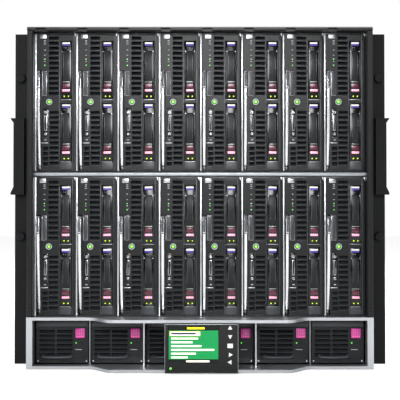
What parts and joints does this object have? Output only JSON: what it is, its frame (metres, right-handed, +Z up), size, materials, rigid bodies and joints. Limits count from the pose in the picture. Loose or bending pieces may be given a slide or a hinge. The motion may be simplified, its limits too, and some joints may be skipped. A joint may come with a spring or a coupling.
{
  "type": "blade server chassis",
  "caption": "Rack-mount enclosure with sliding server blades and ejector levers over latched power supplies, and a sliding, tilting display panel with keys.",
  "frame": {"origin": "on the underside, on the centreline, in the plane of the rear faces of the rack ears", "axes": "+X to the right seen from the front, +Y from the front to the rear, +Z up"},
  "size_m": [0.4898, 0.8509, 0.442],
  "materials": {
    "casing_black": "black powder-coated sheet steel",
    "frame_black": "black moulded plastic",
    "bezel_silver": "silver-grey painted bezel",
    "sheet_steel": "bare zinc-plated sheet steel",
    "board_green": "green solder-masked circuit board",
    "module_dark": "dark grey moulded plastic",
    "blade_black": "black moulded plastic with metal sled",
    "lever_silver": "satin steel lever",
    "latch_magenta": "magenta moulded touch point",
    "panel_black": "black moulded display housing",
    "key_white": "white key cap"
  },
  "bodies": {
    "enclosure": {"outer_casing": "casing_black", "front_frame": "frame_black", "lower_bezel": "bezel_silver", "rack_ears": "casing_black", "bay_shelves": "sheet_steel", "midplane": "board_green", "fan_modules": "module_dark", "interconnect_modules": "sheet_steel", "power_inlets": "module_dark"},
    "display_carriage": {"display_carriage": "module_dark"},
    "display_panel": {"display_panel": "panel_black"},
    "button_up": {"button_up": "key_white"},
    "button_down": {"button_down": "key_white"},
    "button_ok": {"button_ok": "key_white"},
    "button_right": {"button_right": "key_white"},
    "button_left": {"button_left": "key_white"},
    "blade_01": {"blade_01": "blade_black"},
    "lever_01": {"lever_01": "lever_silver"},
    "blade_02": {"blade_02": "blade_black"},
    "lever_02": {"lever_02": "lever_silver"},
    "blade_03": {"blade_03": "blade_black"},
    "lever_03": {"lever_03": "lever_silver"},
    "blade_04": {"blade_04": "blade_black"},
    "lever_04": {"lever_04": "lever_silver"},
    "blade_05": {"blade_05": "blade_black"},
    "lever_05": {"lever_05": "lever_silver"},
    "blade_06": {"blade_06": "blade_black"},
    "lever_06": {"lever_06": "lever_silver"},
    "blade_07": {"blade_07": "blade_black"},
    "lever_07": {"lever_07": "lever_silver"},
    "blade_08": {"blade_08": "blade_black"},
    "lever_08": {"lever_08": "lever_silver"},
    "blade_09": {"blade_09": "blade_black"},
    "lever_09": {"lever_09": "lever_silver"},
    "blade_10": {"blade_10": "blade_black"},
    "lever_10": {"lever_10": "lever_silver"},
    "blade_11": {"blade_11": "blade_black"},
    "lever_11": {"lever_11": "lever_silver"},
    "blade_12": {"blade_12": "blade_black"},
    "lever_12": {"lever_12": "lever_silver"},
    "blade_13": {"blade_13": "blade_black"},
    "lever_13": {"lever_13": "lever_silver"},
    "blade_14": {"blade_14": "blade_black"},
    "lever_14": {"lever_14": "lever_silver"},
    "blade_15": {"blade_15": "blade_black"},
    "lever_15": {"lever_15": "lever_silver"},
    "blade_16": {"blade_16": "blade_black"},
    "lever_16": {"lever_16": "lever_silver"},
    "psu_1": {"psu_1": "module_dark"},
    "psu_latch_1": {"psu_latch_1": "latch_magenta"},
    "psu_2": {"psu_2": "module_dark"},
    "psu_latch_2": {"psu_latch_2": "latch_magenta"},
    "psu_3": {"psu_3": "module_dark"},
    "psu_latch_3": {"psu_latch_3": "latch_magenta"},
    "psu_4": {"psu_4": "module_dark"},
    "psu_latch_4": {"psu_latch_4": "latch_magenta"},
    "psu_5": {"psu_5": "module_dark"},
    "psu_latch_5": {"psu_latch_5": "latch_magenta"},
    "psu_6": {"psu_6": "module_dark"},
    "psu_latch_6": {"psu_latch_6": "latch_magenta"}
  },
  "joints": [
    {"name": "display_slide", "type": "slide", "parent": "enclosure", "child": "display_carriage", "axis": [1, 0, 0], "range_m": [-0.06, 0.06]},
    {"name": "display_tilt", "type": "hinge", "parent": "display_carriage", "child": "display_panel", "pos_m": [0.002, -0.0454, 0.0576], "axis": [-1, 0, 0], "range_deg": [0, 30]},
    {"name": "push_button_up", "type": "slide", "parent": "display_panel", "child": "button_up", "axis": [0, 1, 0], "range_m": [0, 0.001], "stiffness_N_per_m": 400},
    {"name": "push_button_down", "type": "slide", "parent": "display_panel", "child": "button_down", "axis": [0, 1, 0], "range_m": [0, 0.001], "stiffness_N_per_m": 400},
    {"name": "push_button_ok", "type": "slide", "parent": "display_panel", "child": "button_ok", "axis": [0, 1, 0], "range_m": [0, 0.001], "stiffness_N_per_m": 400},
    {"name": "push_button_right", "type": "slide", "parent": "display_panel", "child": "button_right", "axis": [0, 1, 0], "range_m": [0, 0.001], "stiffness_N_per_m": 400},
    {"name": "push_button_left", "type": "slide", "parent": "display_panel", "child": "button_left", "axis": [0, 1, 0], "range_m": [0, 0.001], "stiffness_N_per_m": 400},
    {"name": "blade_01_slide", "type": "slide", "parent": "enclosure", "child": "blade_01", "axis": [0, -1, 0], "range_m": [0, 0.5]},
    {"name": "blade_12_slide", "type": "slide", "parent": "enclosure", "child": "blade_12", "axis": [0, -1, 0], "range_m": [0, 0.5]},
    {"name": "lever_01_pivot", "type": "hinge", "parent": "blade_01", "child": "lever_01", "pos_m": [-0.21, 0.006, 0.2654], "axis": [1, 0, 0], "range_deg": [0, 65]},
    {"name": "lever_12_pivot", "type": "hinge", "parent": "blade_12", "child": "lever_12", "pos_m": [-0.0483, 0.006, 0.0768], "axis": [1, 0, 0], "range_deg": [0, 65]},
    {"name": "psu_1_slide", "type": "slide", "parent": "enclosure", "child": "psu_1", "axis": [0, -1, 0], "range_m": [0, 0.58]},
    {"name": "psu_2_slide", "type": "slide", "parent": "enclosure", "child": "psu_2", "axis": [0, -1, 0], "range_m": [0, 0.58]},
    {"name": "psu_3_slide", "type": "slide", "parent": "enclosure", "child": "psu_3", "axis": [0, -1, 0], "range_m": [0, 0.03]},
    {"name": "psu_4_slide", "type": "slide", "parent": "enclosure", "child": "psu_4", "axis": [0, 1, 0], "range_m": [-0.03, 0]},
    {"name": "psu_5_slide", "type": "slide", "parent": "enclosure", "child": "psu_5", "axis": [0, 1, 0], "range_m": [-0.58, 0]},
    {"name": "psu_6_slide", "type": "slide", "parent": "enclosure", "child": "psu_6", "axis": [0, 1, 0], "range_m": [-0.58, 0]},
    {"name": "psu_latch_1_pivot", "type": "hinge", "parent": "psu_1", "child": "psu_latch_1", "pos_m": [-0.15603, 0.0036, 0.0477], "axis": [1, 0, 0], "range_deg": [0, 10], "stiffness_Nm_per_rad": 0.05},
    {"name": "psu_latch_2_pivot", "type": "hinge", "parent": "psu_2", "child": "psu_latch_2", "pos_m": [-0.08417, 0.0036, 0.0477], "axis": [1, 0, 0], "range_deg": [0, 10], "stiffness_Nm_per_rad": 0.05},
    {"name": "psu_latch_3_pivot", "type": "hinge", "parent": "psu_3", "child": "psu_latch_3", "pos_m": [-0.0123, 0.0036, 0.0477], "axis": [1, 0, 0], "range_deg": [0, 10], "stiffness_Nm_per_rad": 0.05},
    {"name": "psu_latch_4_pivot", "type": "hinge", "parent": "psu_4", "child": "psu_latch_4", "pos_m": [0.05957, 0.0036, 0.0477], "axis": [1, 0, 0], "range_deg": [0, 10], "stiffness_Nm_per_rad": 0.05},
    {"name": "psu_latch_5_pivot", "type": "hinge", "parent": "psu_5", "child": "psu_latch_5", "pos_m": [0.13143, 0.0036, 0.0477], "axis": [1, 0, 0], "range_deg": [0, 10], "stiffness_Nm_per_rad": 0.05},
    {"name": "psu_latch_6_pivot", "type": "hinge", "parent": "psu_6", "child": "psu_latch_6", "pos_m": [0.2033, 0.0036, 0.0477], "axis": [1, 0, 0], "range_deg": [0, 10], "stiffness_Nm_per_rad": 0.05},
    {"name": "lever_02_pivot", "type": "hinge", "parent": "blade_02", "child": "lever_02", "pos_m": [-0.1561, 0.006, 0.2654], "axis": [1, 0, 0], "range_deg": [0, 65]},
    {"name": "lever_03_pivot", "type": "hinge", "parent": "blade_03", "child": "lever_03", "pos_m": [-0.1022, 0.006, 0.2654], "axis": [1, 0, 0], "range_deg": [0, 65]},
    {"name": "lever_04_pivot", "type": "hinge", "parent": "blade_04", "child": "lever_04", "pos_m": [-0.0483, 0.006, 0.2654], "axis": [1, 0, 0], "range_deg": [0, 65]},
    {"name": "lever_05_pivot", "type": "hinge", "parent": "blade_05", "child": "lever_05", "pos_m": [0.0056, 0.006, 0.2654], "axis": [1, 0, 0], "range_deg": [0, 65]},
    {"name": "lever_06_pivot", "type": "hinge", "parent": "blade_06", "child": "lever_06", "pos_m": [0.0595, 0.006, 0.2654], "axis": [1, 0, 0], "range_deg": [0, 65]},
    {"name": "lever_07_pivot", "type": "hinge", "parent": "blade_07", "child": "lever_07", "pos_m": [0.1134, 0.006, 0.2654], "axis": [1, 0, 0], "range_deg": [0, 65]},
    {"name": "lever_08_pivot", "type": "hinge", "parent": "blade_08", "child": "lever_08", "pos_m": [0.1673, 0.006, 0.2654], "axis": [1, 0, 0], "range_deg": [0, 65]},
    {"name": "lever_09_pivot", "type": "hinge", "parent": "blade_09", "child": "lever_09", "pos_m": [-0.21, 0.006, 0.0768], "axis": [1, 0, 0], "range_deg": [0, 65]},
    {"name": "lever_10_pivot", "type": "hinge", "parent": "blade_10", "child": "lever_10", "pos_m": [-0.1561, 0.006, 0.0768], "axis": [1, 0, 0], "range_deg": [0, 65]},
    {"name": "lever_11_pivot", "type": "hinge", "parent": "blade_11", "child": "lever_11", "pos_m": [-0.1022, 0.006, 0.0768], "axis": [1, 0, 0], "range_deg": [0, 65]},
    {"name": "lever_13_pivot", "type": "hinge", "parent": "blade_13", "child": "lever_13", "pos_m": [0.0056, 0.006, 0.0768], "axis": [1, 0, 0], "range_deg": [0, 65]},
    {"name": "lever_14_pivot", "type": "hinge", "parent": "blade_14", "child": "lever_14", "pos_m": [0.0595, 0.006, 0.0768], "axis": [1, 0, 0], "range_deg": [0, 65]},
    {"name": "lever_15_pivot", "type": "hinge", "parent": "blade_15", "child": "lever_15", "pos_m": [0.1134, 0.006, 0.0768], "axis": [1, 0, 0], "range_deg": [0, 65]},
    {"name": "lever_16_pivot", "type": "hinge", "parent": "blade_16", "child": "lever_16", "pos_m": [0.1673, 0.006, 0.0768], "axis": [1, 0, 0], "range_deg": [0, 65]},
    {"name": "blade_02_slide", "type": "slide", "parent": "enclosure", "child": "blade_02", "axis": [0, -1, 0], "range_m": [0, 0.5]},
    {"name": "blade_03_slide", "type": "slide", "parent": "enclosure", "child": "blade_03", "axis": [0, -1, 0], "range_m": [0, 0.5]},
    {"name": "blade_04_slide", "type": "slide", "parent": "enclosure", "child": "blade_04", "axis": [0, -1, 0], "range_m": [0, 0.5]},
    {"name": "blade_05_slide", "type": "slide", "parent": "enclosure", "child": "blade_05", "axis": [0, -1, 0], "range_m": [0, 0.5]},
    {"name": "blade_06_slide", "type": "slide", "parent": "enclosure", "child": "blade_06", "axis": [0, -1, 0], "range_m": [0, 0.5]},
    {"name": "blade_07_slide", "type": "slide", "parent": "enclosure", "child": "blade_07", "axis": [0, -1, 0], "range_m": [0, 0.5]},
    {"name": "blade_08_slide", "type": "slide", "parent": "enclosure", "child": "blade_08", "axis": [0, -1, 0], "range_m": [0, 0.5]},
    {"name": "blade_09_slide", "type": "slide", "parent": "enclosure", "child": "blade_09", "axis": [0, -1, 0], "range_m": [0, 0.5]},
    {"name": "blade_10_slide", "type": "slide", "parent": "enclosure", "child": "blade_10", "axis": [0, -1, 0], "range_m": [0, 0.5]},
    {"name": "blade_11_slide", "type": "slide", "parent": "enclosure", "child": "blade_11", "axis": [0, -1, 0], "range_m": [0, 0.5]},
    {"name": "blade_13_slide", "type": "slide", "parent": "enclosure", "child": "blade_13", "axis": [0, -1, 0], "range_m": [0, 0.5]},
    {"name": "blade_14_slide", "type": "slide", "parent": "enclosure", "child": "blade_14", "axis": [0, -1, 0], "range_m": [0, 0.5]},
    {"name": "blade_15_slide", "type": "slide", "parent": "enclosure", "child": "blade_15", "axis": [0, -1, 0], "range_m": [0, 0.5]},
    {"name": "blade_16_slide", "type": "slide", "parent": "enclosure", "child": "blade_16", "axis": [0, -1, 0], "range_m": [0, 0.5]}
  ]
}
